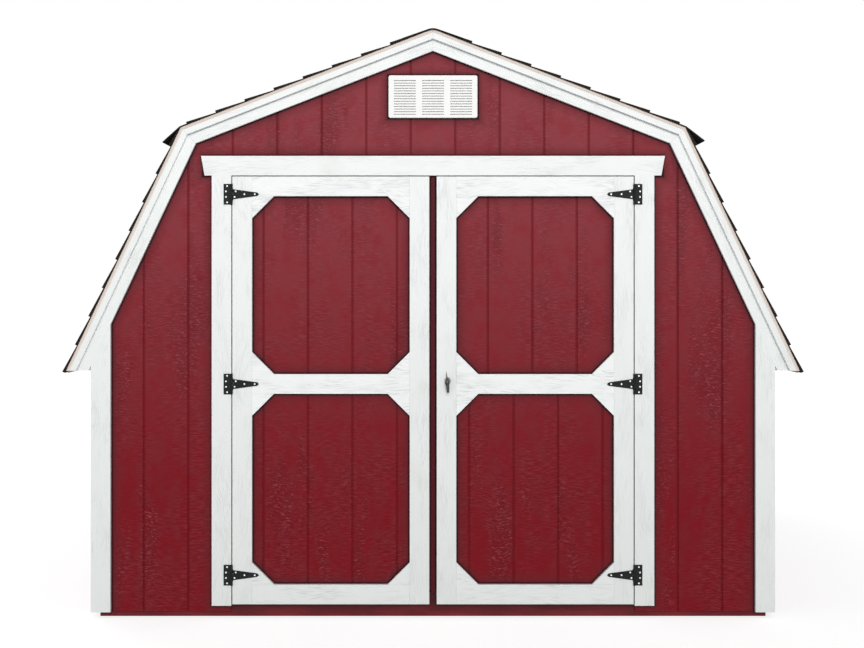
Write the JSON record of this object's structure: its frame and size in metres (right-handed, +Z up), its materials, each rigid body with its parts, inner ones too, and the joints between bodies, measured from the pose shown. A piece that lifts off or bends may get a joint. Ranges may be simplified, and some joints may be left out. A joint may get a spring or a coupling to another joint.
{
  "type": "gambrel storage barn",
  "caption": "Small timber storage barn with a gambrel roof, grooved red siding, white trim and a pair of outward-swinging doors on tee hinges.",
  "frame": {"origin": "middle of the footprint, on the ground", "axes": "+Z up, the doors face -Y, +X to the right of someone who faces the doors"},
  "size_m": [3.3658, 3.7965, 2.6911],
  "materials": {
    "red_siding": "satin",
    "white_trim": "satin",
    "vent_plastic": "satin",
    "bare_timber": "matte",
    "sheathing": "matte",
    "shingles": "matte",
    "drip_metal": "satin",
    "black_iron": "satin",
    "grey_metal": "satin"
  },
  "bodies": {
    "barn": {"front_wall_left": "red_siding", "front_wall_right": "red_siding", "front_gable_wall": "red_siding", "back_wall": "red_siding", "left_wall": "red_siding", "right_wall": "red_siding", "front_rake_boards": "white_trim", "back_rake_boards": "white_trim", "rake_strips": "white_trim", "soffits": "white_trim", "front_corner_boards": "white_trim", "back_corner_boards": "white_trim", "door_casings": "white_trim", "header_board": "white_trim", "front_vent": "vent_plastic", "back_vent": "vent_plastic", "floor_frame": "bare_timber", "left_wall_frame": "bare_timber", "right_wall_frame": "bare_timber", "front_wall_frame": "bare_timber", "back_wall_frame": "bare_timber", "rafters": "bare_timber", "door_stops": "bare_timber", "floor_deck": "sheathing", "roof_gussets": "sheathing", "left_roof_deck": "sheathing", "right_roof_deck": "sheathing", "left_upper_shingles": "shingles", "left_lower_shingles": "shingles", "right_upper_shingles": "shingles", "right_lower_shingles": "shingles", "ridge_cap": "shingles", "drip_edges": "drip_metal", "hinge_leaves": "black_iron"},
    "left_door": {"left_door_panel": "red_siding", "left_door_frame": "bare_timber", "left_door_trim": "white_trim", "left_door_straps": "black_iron"},
    "right_door": {"right_door_panel": "red_siding", "right_door_frame": "bare_timber", "right_door_trim": "white_trim", "right_door_straps": "black_iron", "handle_rosette": "grey_metal"},
    "handle": {"door_handle": "grey_metal"}
  },
  "joints": [
    {"name": "left_door_swing", "type": "hinge", "parent": "barn", "child": "left_door", "pos_m": [-0.91671, -1.8693, 1], "axis": [0, 0, -1], "range_deg": [0, 170]},
    {"name": "right_door_swing", "type": "hinge", "parent": "barn", "child": "right_door", "pos_m": [0.91671, -1.8693, 1], "axis": [0, 0, 1], "range_deg": [0, 170]},
    {"name": "handle_turn", "type": "hinge", "parent": "right_door", "child": "handle", "pos_m": [0.067, -1.8693, 1.081], "axis": [0, 1, 0], "range_deg": [0, 90]}
  ]
}
